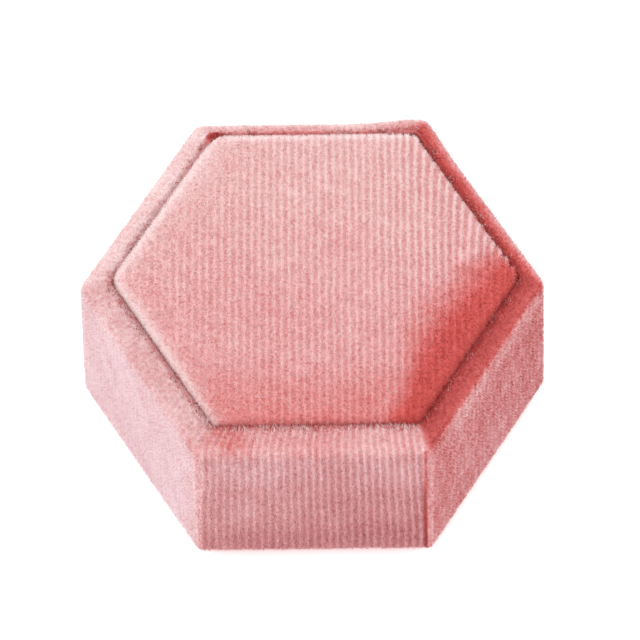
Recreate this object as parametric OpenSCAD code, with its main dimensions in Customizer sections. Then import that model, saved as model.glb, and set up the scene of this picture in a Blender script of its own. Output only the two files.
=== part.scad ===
// Six-sided jewelry box with a lift-off lid, covered in ribbed velvet.
// The origin is the middle of the underside, Z is up, and two corners lie on the X axis.

/* [Box] */
// Finished width of the lid between two opposite flat sides
across_flats = 78; // [72:1:90]
// Height of the lid's rim above the table
rim_height = 38; // [36:1:48]
// How far the middle of the top panel stands above the rim
crown = 1.8; // [1.4:0.1:2.2]
// How much lower the top panel's edges are than its middle
edge_fall = 0.6; // [0.4:0.1:1]
// Radius of the padded edge where the wall rolls over into the rim
rim_round = 1.8; // [1:0.1:2]
// Radius of the softer edge from the rim into the recess
recess_round = 1.2; // [0.8:0.1:1.2]

/* [Velvet] */
// Thickness of the ribbed velvet with its pile
velvet = 0.9; // [0.7:0.1:1]
// Thickness of velvet where it is glued down flat out of sight
turn_in = 0.7; // [0.5:0.1:0.7]
// Width of the velvet's turned-in margins
margin = 8; // [5:1:9]

/* [Lid] */
// Greyboard of the lid's wall
wall_board = 2.5; // [2:0.1:3]
// Greyboard hexagon set into the lid as its ceiling
top_board = 2; // [1.5:0.1:2.5]
// Depth of the recess that holds the top panel, from the rim to the board
recess = 4.6; // [4.4:0.1:5.2]
// Open groove between the rim and the top panel
groove = 0.5; // [0.3:0.1:0.8]
// Greyboard of the top panel
panel_card = 1.5; // [1:0.1:1.6]
// How far the recess and its top panel stand off the middle of the lid, to the right
panel_shift_x = 0.7; // [-0.8:0.1:0.8]
// How far they stand off the middle, to the back
panel_shift_y = 1.2; // [-1.2:0.1:1.2]
// Radius of the top panel's soft edge
panel_round = 1.2; // [0.8:0.1:1.4]

/* [Lid lining] */
// Card strip that lines the inside of the lid's wall
lining = 0.7; // [0.5:0.1:0.7]
// Card behind the padded ceiling
ceiling_board = 0.8; // [0.6:0.1:1]
// Wadding of the padded ceiling at its middle
ceiling_pad = 1; // [0.8:0.1:1.4]
// Satin over the padded ceiling
satin = 0.3; // [0.2:0.1:0.3]

/* [Base] */
// Felt on the underside
felt = 0.5; // [0.4:0.1:0.8]
// Flocked paper that covers the base board
flock_paper = 0.3; // [0.2:0.1:0.4]
// Greyboard of the base
foot_board = 1.5; // [1.2:0.1:1.6]
// How far the base stands back from the lid's outer face
foot_inset = 2.2; // [2:0.1:2.6]
// Gap under the lid's edge
lid_gap = 0.3; // [0.3:0.1:0.5]

/* [Collar] */
// Running gap between the lid's lining and the collar
slide_gap = 0.4; // [0.35:0.05:0.6]
// Greyboard of the collar
collar_card = 1.6; // [1.4:0.1:2]
// Height of the collar's velvet edge above the table
collar_height = 16.7; // [15:0.1:18]
// Depth of the velvet turned down inside the collar
collar_turn = 5; // [3:1:6]

/* [Ring cushion] */
// Card that the three cushion rolls stand on
floor_card = 0.8; // [0.6:0.1:1]
// Height of the rolls above the table
roll_height = 16.5; // [14:0.1:17]
// Slot between two rolls, where a ring's band goes in
ring_slot = 0.5; // [0.4:0.1:1]
// Radius of the rolls' upper edges
roll_round = 6; // [4:0.5:6]
// Thickness of the rolls' cover
roll_cover = 0.6; // [0.5:0.1:0.8]

/* [Hidden] */
$fn = 48;
// A corner of a hexagon lies this much further out than its flat sides
corner_ratio = 1 / cos(30);
// Amount that a cutting shape runs past the face it cuts
past = 1;

// Distances from the axis to flat sides, working inwards through the lid
lid_out = across_flats / 2;
wall_out = lid_out - velvet;
wall_in = wall_out - wall_board;
recess_in = wall_in - velvet;
panel_out = recess_in - groove;
panel_card_out = panel_out - turn_in;
lining_in = wall_in - lining;

// Distances from the axis to flat sides in the base
foot_out = lid_out - foot_inset;
foot_card_out = foot_out - flock_paper;
foot_turn_in = foot_out - margin;
felt_out = foot_out - 1.8;
collar_out = lining_in - slide_gap;
collar_card_out = collar_out - turn_in;
collar_card_in = collar_card_out - collar_card;
collar_in = collar_card_in - turn_in;
insert_out = collar_in - 0.3;

// Heights in the base
foot_card_bottom = felt + flock_paper;
foot_card_top = foot_card_bottom + foot_board;
foot_top = foot_card_top + flock_paper;
floor_top = foot_top + floor_card;
lid_bottom = foot_top + lid_gap;

// Heights in the lid
top_board_top = rim_height - recess;
top_board_bottom = top_board_top - top_board;
panel_bottom = top_board_top + turn_in;
panel_card_bottom = panel_bottom + turn_in;
panel_card_top = panel_card_bottom + panel_card;
panel_top = rim_height + crown;
ceiling_card_top = top_board_bottom - satin;
ceiling_card_bottom = ceiling_card_top - ceiling_board;
ceiling_out = lining_in - 0.2;
ceiling_card_out = ceiling_out - satin;

// Width of each of the three rolls
roll_width = (2 * insert_out - 2 * ring_slot) / 3;

greyboard_colour = "#9b958c";
velvet_colour = "#e3a09d";
lining_colour = "#f0d3cd";
foam_colour = "#f4f0e4";
paper_colour = "#d9a09c";

// Hexagonal plate whose flat sides are "out" from the axis
module hex_plate(out, low, high) {
    translate([0, 0, low]) cylinder(h = high - low, r = out * corner_ratio, $fn = 6);
}

// Hexagonal tube between two distances from the axis
module hex_tube(out, inner, low, high) {
    difference() {
        hex_plate(out, low, high);
        hex_plate(inner, low - past, high + past);
    }
}

// Carries a section, drawn from the axis to the middle of a flat side, round the hexagon
module hex_sweep() {
    rotate_extrude($fn = 6) scale([corner_ratio, 1]) children();
}

// Rectangle given by its lower left and upper right corners
module rect(left, low, right, high) {
    translate([left, low]) square([right - left, high - low]);
}

// Bar whose upper corners are round
module round_topped(left, low, right, high, radius) {
    hull() {
        rect(left, low, right, low + past);
        translate([left + radius, high - radius]) circle(radius);
        translate([right - radius, high - radius]) circle(radius);
    }
}

// Section that falls from "high" at the axis to a soft edge "drop" lower at "out",
// whose radius is "radius", or less where the edge is thin
module crowned(out, low, high, drop, radius) {
    edge = min(radius, (high - drop - low) / 2);
    hull() {
        rect(0, low, out, low + edge);
        translate([out - edge, high - drop - edge]) circle(edge);
        rect(0, low, out * 0.25, high);
        rect(0, low, out * 0.6, high - drop * 0.36);
    }
}

// Bar along X under one roll, with round upper edges and its sides "inset" inside the roll
module roll_bar(middle, inset, low) {
    half = roll_width / 2 - inset;
    intersection() {
        translate([-across_flats, middle, 0]) rotate([90, 0, 90])
            linear_extrude(2 * across_flats)
                round_topped(-half, low, half, roll_height - inset, roll_round - inset);
        hex_plate(insert_out - inset, low, roll_height);
    }
}

function roll_middle(place) = place * (roll_width + ring_slot);

module roll_foam(place) {
    color(foam_colour) roll_bar(roll_middle(place), roll_cover, floor_top + roll_cover);
}

// Cover pulled over a roll and turned in underneath, open in the middle of its underside
module roll_cover_shell(place) {
    color(velvet_colour) difference() {
        roll_bar(roll_middle(place), 0, floor_top);
        roll_bar(roll_middle(place), roll_cover, floor_top + roll_cover);
        intersection() {
            hex_plate(insert_out - 4, floor_top - past, floor_top + roll_cover + 0.1);
            translate([-across_flats, roll_middle(place) - roll_width / 2 + 4, 0])
                cube([2 * across_flats, roll_width - 8, 2 * floor_top]);
        }
    }
}

module base_felt() {
    color("#8f8781") union() {
        hex_plate(felt_out, 0, felt);
        hex_plate(foot_turn_in, 0, foot_card_bottom);
    }
}

module base_board() {
    color(greyboard_colour) hex_plate(foot_card_out, foot_card_bottom, foot_card_top);
}

// Paper over the top and edge of the base board, with a margin turned in underneath
module base_wrap() {
    color(paper_colour) difference() {
        hex_plate(foot_out, felt, foot_top);
        hex_plate(foot_card_out, foot_card_bottom, foot_card_top);
        hex_plate(foot_turn_in, felt - past, foot_card_bottom + 0.1);
    }
}

module collar_board() {
    color(greyboard_colour)
        hex_tube(collar_card_out, collar_card_in, foot_top, collar_height - turn_in);
}

// Velvet up the outside of the collar, over its edge and down inside
module collar_velvet() {
    color(velvet_colour) hex_sweep() difference() {
        round_topped(collar_in, foot_top, collar_out, collar_height, 1.2);
        rect(collar_card_in, foot_top - past, collar_card_out, collar_height - turn_in);
        rect(collar_in - past, foot_top - past, collar_card_out, collar_height - collar_turn);
    }
}

module tray_card() {
    color(greyboard_colour) hex_plate(insert_out, foot_top, floor_top);
}

// Places the recess and what lies in it
module in_recess() {
    translate([panel_shift_x, panel_shift_y, 0]) children();
}

// The wall is even up to the top board; above it the board stands round the recess
module wall_board_shape() {
    difference() {
        hex_plate(wall_out, lid_bottom + turn_in, rim_height - velvet);
        hex_plate(wall_in, lid_bottom - past, top_board_top);
        in_recess() hex_plate(wall_in, top_board_top, rim_height + past);
    }
}

module lid_wall_board() {
    color(greyboard_colour) wall_board_shape();
}

module lid_top_board() {
    color(greyboard_colour) hex_plate(wall_in, top_board_bottom, top_board_top);
}

// Section of the open recess, with the soft edge left standing at its mouth
module recess_section() {
    floor = top_board_top + turn_in;
    difference() {
        rect(0, floor, recess_in + recess_round, rim_height + past);
        rect(recess_in, floor - past, recess_in + recess_round + past, rim_height - recess_round);
        translate([recess_in + recess_round, rim_height - recess_round]) circle(recess_round);
    }
}

// Velvet up the outside of the wall, over the rim, down into the recess and on to the top board,
// and turned in under the wall's lower edge
module lid_velvet() {
    color(velvet_colour) difference() {
        hex_sweep() crowned(lid_out, lid_bottom, rim_height, 0, rim_round);
        in_recess() hex_sweep() recess_section();
        in_recess() hex_plate(recess_in - margin, top_board_top - past, rim_height);
        wall_board_shape();
        hex_plate(wall_in, lid_bottom + margin, top_board_top);
        hex_plate(wall_in - turn_in, lid_bottom - past, lid_bottom + margin + past);
    }
}

module panel_board() {
    color(greyboard_colour) in_recess() hex_plate(panel_card_out, panel_card_bottom, panel_card_top);
}

module panel_foam() {
    color(foam_colour) in_recess() hex_sweep()
        crowned(panel_card_out, panel_card_top, panel_top - velvet, edge_fall, panel_round - turn_in);
}

// Velvet over the foam and the board's edge, with a margin turned in underneath
module panel_velvet() {
    color(velvet_colour) in_recess() hex_sweep() difference() {
        crowned(panel_out, panel_bottom, panel_top, edge_fall, panel_round);
        rect(-past, panel_card_bottom, panel_card_out, panel_card_top);
        crowned(panel_card_out, panel_card_top, panel_top - velvet, edge_fall, panel_round - turn_in);
        rect(-past, panel_bottom - past, panel_out - margin, panel_card_bottom + 0.1);
    }
}

module lid_lining_strip() {
    color(lining_colour) hex_tube(wall_in, lining_in, lid_bottom + margin, top_board_bottom);
}

module ceiling_card() {
    color(greyboard_colour) hex_plate(ceiling_card_out, ceiling_card_bottom, ceiling_card_top);
}

// The ceiling's padding hangs down from its card, so its section is a crowned one turned over
module ceiling_wadding() {
    color(foam_colour) hex_sweep()
        translate([0, ceiling_card_bottom]) mirror([0, 1])
            crowned(ceiling_card_out, 0, ceiling_pad, 0.3, 0.4);
}

module ceiling_satin() {
    color(lining_colour) hex_sweep() difference() {
        translate([0, top_board_bottom]) mirror([0, 1])
            crowned(ceiling_out, 0, top_board_bottom - ceiling_card_bottom + ceiling_pad + satin, 0.3, 0.6);
        rect(-past, ceiling_card_bottom, ceiling_card_out, ceiling_card_top);
        translate([0, ceiling_card_bottom]) mirror([0, 1])
            crowned(ceiling_card_out, 0, ceiling_pad, 0.3, 0.4);
        rect(-past, ceiling_card_top - 0.1, ceiling_out - margin, top_board_bottom + past);
    }
}

base_felt();
base_board();
base_wrap();
collar_board();
collar_velvet();
tray_card();
roll_foam(-1);  // front_roll_foam
roll_foam(0);  // middle_roll_foam
roll_foam(1);  // back_roll_foam
roll_cover_shell(-1);  // front_roll_cover
roll_cover_shell(0);  // middle_roll_cover
roll_cover_shell(1);  // back_roll_cover
lid_wall_board();
lid_top_board();
lid_velvet();
panel_board();
panel_foam();
panel_velvet();
lid_lining_strip();
ceiling_card();
ceiling_wadding();
ceiling_satin();
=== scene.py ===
import math
from functools import partial

import bmesh
import bpy
import numpy as np
from mathutils import Matrix, Quaternion, Vector
from mathutils.bvhtree import BVHTree


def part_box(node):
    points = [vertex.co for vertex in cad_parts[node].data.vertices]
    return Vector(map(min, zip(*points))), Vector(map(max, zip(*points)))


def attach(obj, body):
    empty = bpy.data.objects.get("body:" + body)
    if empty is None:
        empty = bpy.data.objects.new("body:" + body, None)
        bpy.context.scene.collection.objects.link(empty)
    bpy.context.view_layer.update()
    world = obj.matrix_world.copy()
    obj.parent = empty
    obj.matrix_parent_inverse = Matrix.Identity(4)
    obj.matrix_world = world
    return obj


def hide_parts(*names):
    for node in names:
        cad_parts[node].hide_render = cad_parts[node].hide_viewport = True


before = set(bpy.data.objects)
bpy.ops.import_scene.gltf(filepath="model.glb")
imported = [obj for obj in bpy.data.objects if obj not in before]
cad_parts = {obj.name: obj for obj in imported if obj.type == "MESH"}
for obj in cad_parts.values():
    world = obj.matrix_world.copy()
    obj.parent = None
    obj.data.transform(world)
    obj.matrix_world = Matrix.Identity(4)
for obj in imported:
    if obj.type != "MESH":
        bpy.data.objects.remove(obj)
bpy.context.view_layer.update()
mm = 0.001
tan30 = math.tan(math.radians(30))
cos30 = math.cos(math.radians(30))

# Sides of the hexagon are counted from the front (towards -Y) round by the right: front, front
# right, back right, back, back left, front left.


def linear(hexColour):
    # sRGB hex to the linear values that shader sockets take
    parts = [int(hexColour[i:i + 2], 16) / 255 for i in (1, 3, 5)]
    return [c / 12.92 if c <= 0.04045 else ((c + 0.055) / 1.055) ** 2.4 for c in parts] + [1.0]


def blendHex(first, second, share):
    pairs = [(int(first[i:i + 2], 16), int(second[i:i + 2], 16)) for i in (1, 3, 5)]
    return "#" + "".join(f"{round(a + (b - a) * share):02x}" for a, b in pairs)


def addNode(tree, kind, settings=None, inputs=None):
    # inputs holds values, or output sockets to link from, by socket name or number
    node = tree.nodes.new(kind)
    for key, value in (settings or {}).items():
        setattr(node, key, value)
    for key, value in (inputs or {}).items():
        if isinstance(value, bpy.types.NodeSocket):
            tree.links.new(value, node.inputs[key])
        else:
            node.inputs[key].default_value = value
    return node


def addMaths(tree, operation, *values):
    return addNode(tree, "ShaderNodeMath", {"operation": operation}, dict(enumerate(values))).outputs[0]


def addNoise(tree, place, size, detail, roughness=0.5, distortion=0.0):
    # size is in metres, about as wide as one patch of the noise
    return addNode(tree, "ShaderNodeTexNoise", None, {
        "Vector": place, "Scale": 1 / size, "Detail": detail, "Roughness": roughness,
        "Distortion": distortion}).outputs[0]


def addNamed(tree, key):
    # a value that the mesh carries, read in Geometry Nodes
    return addNode(tree, "GeometryNodeInputNamedAttribute", {"data_type": "FLOAT"}, {"Name": key}).outputs[0]


def objectPlace(tree):
    return addNode(tree, "ShaderNodeTexCoord").outputs["Object"]


def addRamp(tree, value, stops):
    node = addNode(tree, "ShaderNodeValToRGB", None, {"Fac": value})
    ramp = node.color_ramp
    while len(ramp.elements) < len(stops):
        ramp.elements.new(0.5)
    for element, (place, colour) in zip(ramp.elements, stops):
        element.position = place
        element.color = linear(colour)
    return node.outputs[0]


def paintSurface(tree, shader, colour, height, strength, depth):
    # the colour, and a bump from the same pattern, "depth" metres deep
    tree.links.new(colour, shader.inputs["Base Color"])
    bump = addNode(tree, "ShaderNodeBump", None, {"Height": height, "Strength": strength, "Distance": depth})
    tree.links.new(bump.outputs[0], shader.inputs["Normal"])


def smoothStep(low, high, value):
    t = np.clip((value - low) / (high - low), 0, 1)
    return t * t * (3 - 2 * t)


def hump(value, middle, width):
    return np.exp(-((value - middle) / width) ** 2)


def drift(points, size):
    # slow unevenness between -1 and 1, about "size" mm across
    p = points / mm / size
    total = 0
    for i, (turn, stretch) in enumerate(((0.3, 1.0), (1.4, 1.31), (2.3, 0.77), (4.0, 1.13))):
        along = p[..., 0] * math.cos(turn) + p[..., 1] * math.sin(turn)
        along = along + p[..., 2] * 0.7 * math.cos(turn + 1)
        total = total + np.sin(along * stretch * 2.6 + 1.7 * i + np.sin(p[..., (i + 1) % 3] * 1.9 + i))
    return total / 4


def storeValues(mesh, attributes):
    for key, values in attributes.items():
        layer = mesh.attributes.new(key, "FLOAT", "POINT")
        layer.data.foreach_set("value", np.asarray(values, dtype=np.float32).ravel())


def coordinates(mesh):
    places = np.zeros(len(mesh.vertices) * 3, np.float32)
    mesh.vertices.foreach_get("co", places)
    return places.reshape(-1, 3).astype(float)


def newObject(name, mesh):
    piece = bpy.data.objects.new(name, mesh)
    bpy.context.collection.objects.link(piece)
    return piece


def gridObject(name, grid, closed, attributes=None):
    # grid is rows x columns x 3, in metres; closed joins the last column to the first
    rows, columns = grid.shape[:2]
    r, c = np.meshgrid(np.arange(rows - 1), np.arange(columns if closed else columns - 1), indexing="ij")
    after = (c + 1) % columns
    faces = np.stack([r * columns + c, r * columns + after,
                      (r + 1) * columns + after, (r + 1) * columns + c], -1).reshape(-1, 4)
    mesh = bpy.data.meshes.new(name)
    mesh.from_pydata(grid.reshape(-1, 3).tolist(), [], faces.tolist())
    storeValues(mesh, attributes or {})
    mesh.shade_smooth()
    return newObject(name, mesh)


def finalMesh(piece):
    graph = bpy.context.evaluated_depsgraph_get()
    return bpy.data.meshes.new_from_object(piece.evaluated_get(graph), depsgraph=graph)


def runNodes(piece, tree, values, name=None):
    # puts a Geometry Nodes tree on the piece and keeps its result as a plain mesh
    modifier = piece.modifiers.new(tree.name, "NODES")
    modifier.node_group = tree
    for item in tree.interface.items_tree:
        if item.item_type == "SOCKET" and item.in_out == "INPUT" and item.name in values:
            modifier[item.identifier] = values[item.name]
    piece.update_tag()
    mesh = finalMesh(piece)
    piece.modifiers.remove(modifier)
    if name:
        mesh.name = name
        return newObject(name, mesh)
    piece.data = mesh
    return piece


def newTree(name, inputs):
    # inputs: (name, socket type, default value)
    tree = bpy.data.node_groups.new(name, "GeometryNodeTree")
    tree.interface.new_socket("Geometry", in_out="INPUT", socket_type="NodeSocketGeometry")
    for label, kind, default in inputs:
        tree.interface.new_socket(label, in_out="INPUT", socket_type=kind).default_value = default
    tree.interface.new_socket("Geometry", in_out="OUTPUT", socket_type="NodeSocketGeometry")
    return tree, tree.nodes.new("NodeGroupInput").outputs, tree.nodes.new("NodeGroupOutput").inputs


def placePiece(piece, body, material=None, replaced=()):
    if material:
        piece.data.materials.clear()
        piece.data.materials.append(material)
    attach(piece, body)
    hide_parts(*replaced)
    print(piece.name, len(piece.data.polygons), "faces")
    return piece


# Camera, lights and floor

studio = {
    "elevation": 54.5,            # degrees above the table
    "azimuth": 0.9,
    "roll": -1.4,
    "distance": 1.62,             # metres
    "lens": 468.7,
    "lookAt": (1.4, 0.0, 25.3),   # mm
    "room": 1.02,
    "lights": {                   # place, size and power
        "key light": ((-0.75, -0.35, 0.9), 1.0, 4.2),
        "fill light": ((0.85, -0.5, 0.7), 1.0, 3.2),
        "back light": ((0.1, 0.9, 0.7), 1.0, 2.3),
    },
}


def aim(obj, place, target):
    obj.location = place
    obj.rotation_mode = "QUATERNION"
    obj.rotation_quaternion = (Vector(target) - Vector(place)).to_track_quat("-Z", "Y")


def buildStudio():
    camera = newObject("camera", bpy.data.cameras.new("camera"))
    up, aside = math.radians(studio["elevation"]), math.radians(studio["azimuth"])
    back = Vector((math.sin(aside) * math.cos(up), -math.cos(aside) * math.cos(up), math.sin(up)))
    target = Vector(studio["lookAt"]) * mm
    aim(camera, target + back * studio["distance"], target)
    camera.rotation_quaternion @= Quaternion((0, 0, 1), math.radians(studio["roll"]))
    camera.data.lens = studio["lens"]
    camera.data.clip_start = 0.1
    bpy.context.scene.camera = camera
    for name, (place, size, power) in studio["lights"].items():
        lamp = bpy.data.lights.new(name, "AREA")
        lamp.size = size
        lamp.energy = power
        aim(newObject(name, lamp), place, (0, 0, 0.02))
    world = bpy.data.worlds.new("pale room")
    world.use_nodes = True
    backdrop = world.node_tree.nodes["Background"]
    backdrop.inputs["Color"].default_value = linear("#ffffff")
    backdrop.inputs["Strength"].default_value = studio["room"]
    bpy.context.scene.world = world
    bpy.context.scene.view_settings.view_transform = "Standard"

    half = 4.0
    corners = np.array([[(-half, -half, 0), (half, -half, 0)], [(-half, half, 0), (half, half, 0)]])
    floor = gridObject("table", corners, False)
    paint, shader = newMaterial("matt white table", {"Roughness": 0.9, "Emission Strength": 0.3})[:2]
    shader.inputs["Base Color"].default_value = linear("#ffffff")
    shader.inputs["Emission Color"].default_value = linear("#ffffff")
    floor.data.materials.append(paint)


def newMaterial(name, values):
    material = bpy.data.materials.new(name)
    material.use_nodes = True
    shader = material.node_tree.nodes["Principled BSDF"]
    for key, value in values.items():
        shader.inputs[key].default_value = value
    return material, shader, material.node_tree


buildStudio()
print("studio built")

# Tones of the pile, from deep to pale, picked by the lie of the pile and by painted light and shade

topTones = ["#ba4643", "#d3625e", "#dc9494", "#e3bebe", "#f1e0e0"]
wallTones = ["#8f4e52", "#b16d70", "#c98f91", "#d8b0b4", "#e6d2d6"]
shadedTones = [blendHex(a, b, 0.45) for a, b in zip(wallTones, topTones)]
coolRimTones = [blendHex(a, b, 0.55) for a, b in zip(wallTones, topTones)]
innerTones = ["#9c4a4a", "#bd6766", "#cf8583", "#dea3a0", "#edc7c3"]

napAndLightLevels = {
    # how pale the pile is painted on each side: partly the lie of the pile, partly painted light, paler on
    # the left, and painted shade, deeper on the right and in the grooves
    "walls": [0.55, 0.52, 0.54, 0.62, 0.8, 0.94],
    "rims": [0.65, 0.14, 0.26, 0.71, 0.90, 0.76],
    # painted shade inside the groove, side by side
    "grooves": [0.5, 0.24, 0.3, 0.62, 0.66, 0.58],
    "rimCool": [0.25, 0.3, 0.1, 0.1, 0.15, 0.45],     # share of the walls' cooler tones
    "rimFade": [4.2, 1.8, 2.2, 2.6, 4.0, 3.6],        # mm down the wall until the rim's tone is gone
    "wallRibs": [1.0, 0.5, 0.8, 0.9, 0.7, 0.4],
    "rimRibs": [0.7, 0.12, 0.12, 0.3, 0.12, 0.25],
    "panel": 0.70,
    "patchDepth": 0.48,
    "patchWidth": 10.0,        # mm in from the panel's front right edge
    "frontStrip": 0.11,
    "frontStripWidth": 17,     # mm
    # a painted highlight along the panel's edges
    "edgeGlow": 0.32,
}


def sideNormals():
    turns = np.radians(-90 + 60 * np.arange(6))
    return np.column_stack([np.cos(turns), np.sin(turns)])


def sideShares(points):
    # how much each of the six sides counts at a point, summing to 1
    angle = np.degrees(np.arctan2(points[..., 1], points[..., 0]))
    away = [np.abs((angle - (-90 + 60 * side) + 180) % 360 - 180) for side in range(6)]
    shares = np.array([1 - smoothStep(28.5, 31.5, a) for a in away])
    return shares / shares.sum(0)


def bySide(shares, levels):
    return sum(share * level for share, level in zip(shares, levels))


def panelNapAndLight(points, flat):
    # the panel's pile: deep along the front right edge, warm along the front, with a painted highlight on the
    # left edges
    x, y = points[..., 0] / mm, points[..., 1] / mm
    inFrom = [flat - (x * nx + y * ny) for nx, ny in sideNormals()]
    along = (x * 0.5 + y * cos30) / (flat * tan30)      # 1 at the right corner, -1 at the front right one
    wide = napAndLightLevels["patchWidth"] * (0.35 + 0.65 * np.cos(np.clip(along - 0.2, -1.2, 1) * 1.2))
    ragged = inFrom[1] + 0.9 * drift(points, 5) + 0.3 * drift(points, 1.7)
    patch = 1 - smoothStep(0.2 * wide, 1.6 * wide, ragged)
    patch = patch * (1 - smoothStep(0.95, 1.2, along))
    nap = napAndLightLevels["panel"] + 0.0025 * y - napAndLightLevels["patchDepth"] * patch
    strip = 1 - smoothStep(0, napAndLightLevels["frontStripWidth"], inFrom[0])
    nap = nap - napAndLightLevels["frontStrip"] * strip * (1 - patch)
    # painted shade where the pad turns down to the groove at the front, and a painted highlight along its
    # other edges
    nap = nap - 0.06 * (1 - smoothStep(0.2, 2.4, inFrom[0]))
    glow = 0.9 * np.exp(-np.clip(inFrom[4] - 0.8, 0, None) / 1.4)
    glow = np.maximum(glow, 0.92 * np.exp(-np.clip(inFrom[5] - 0.5, 0, None) / 0.8))
    glow = np.maximum(glow, (1 - smoothStep(0.6, 2.8, inFrom[3])) * 0.75)
    nap = nap + napAndLightLevels["edgeGlow"] * glow + 0.03 * drift(points, 10) + 0.03 * drift(points, 3)
    nap = nap - 0.02 * smoothStep(-4, -26, x) * (1 - glow)
    # the ribs are pressed flatter by the left edges and in the stroked patch, and open at the right
    relief = (0.2 + 0.8 * smoothStep(1, 16, np.minimum(inFrom[4], inFrom[5]))) * (1 - 0.55 * patch)
    relief = relief * (0.72 + 0.28 * smoothStep(5, 25, x))
    return nap, relief * (1 + 1.2 * np.exp(-np.clip(inFrom[2], 0, None) / 2.2) * (1 - patch))


# Geometry Nodes: ribs and pile

def ribTree():
    # raises the ribs out of the cloth, with their waver and their tufts
    tree, given, result = newTree("velvetRibs", [
        ("Rib height", "NodeSocketFloat", 0.12 * mm),
        ("Rib sharpness", "NodeSocketFloat", 2.1),
        ("Tuft size", "NodeSocketFloat", 0.8 * mm),
        ("Tuft depth", "NodeSocketFloat", 1.1),
        ("Waver", "NodeSocketFloat", 0.3),
    ])
    put, maths = partial(addNode, tree), partial(addMaths, tree)
    named = partial(addNamed, tree)
    place = put("GeometryNodeInputPosition").outputs[0]
    slow = addNoise(tree, place, 7 * mm, 1.0)
    phase = maths("ADD", named("ribPhase"), maths("MULTIPLY", maths("SUBTRACT", slow, 0.5), given["Waver"]))
    across = maths("MULTIPLY", maths("ABSOLUTE", maths("SUBTRACT", maths("FRACT", phase), 0.5)), 2.0)
    crest = maths("POWER", maths("SUBTRACT", 1.0, across), given["Rib sharpness"])
    tuft = put("ShaderNodeTexNoise", None, {
        "Vector": place, "Scale": maths("DIVIDE", 1.0, given["Tuft size"]), "Detail": 2.0, "Roughness": 0.6})
    uneven = maths("MULTIPLY", maths("SUBTRACT", tuft.outputs[0], 0.5), given["Tuft depth"])
    relief = named("ribRelief")
    level = maths("MULTIPLY_ADD", maths("SUBTRACT", crest, 0.4), relief, 0.45)
    height = maths("ADD", level, uneven)
    lift = maths("MULTIPLY", maths("SUBTRACT", height, 1.0), given["Rib height"])
    offset = put("ShaderNodeVectorMath", {"operation": "SCALE"},
                 {0: put("GeometryNodeInputNormal").outputs[0], "Scale": lift}).outputs[0]
    stored = put("GeometryNodeStoreNamedAttribute", {"data_type": "FLOAT", "domain": "POINT"},
                 {"Geometry": given["Geometry"], "Name": "pileHeight", "Value": height}).outputs[0]
    moved = put("GeometryNodeSetPosition", None, {"Geometry": stored, "Offset": offset}).outputs[0]
    tree.links.new(moved, result[0])
    return tree


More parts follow.
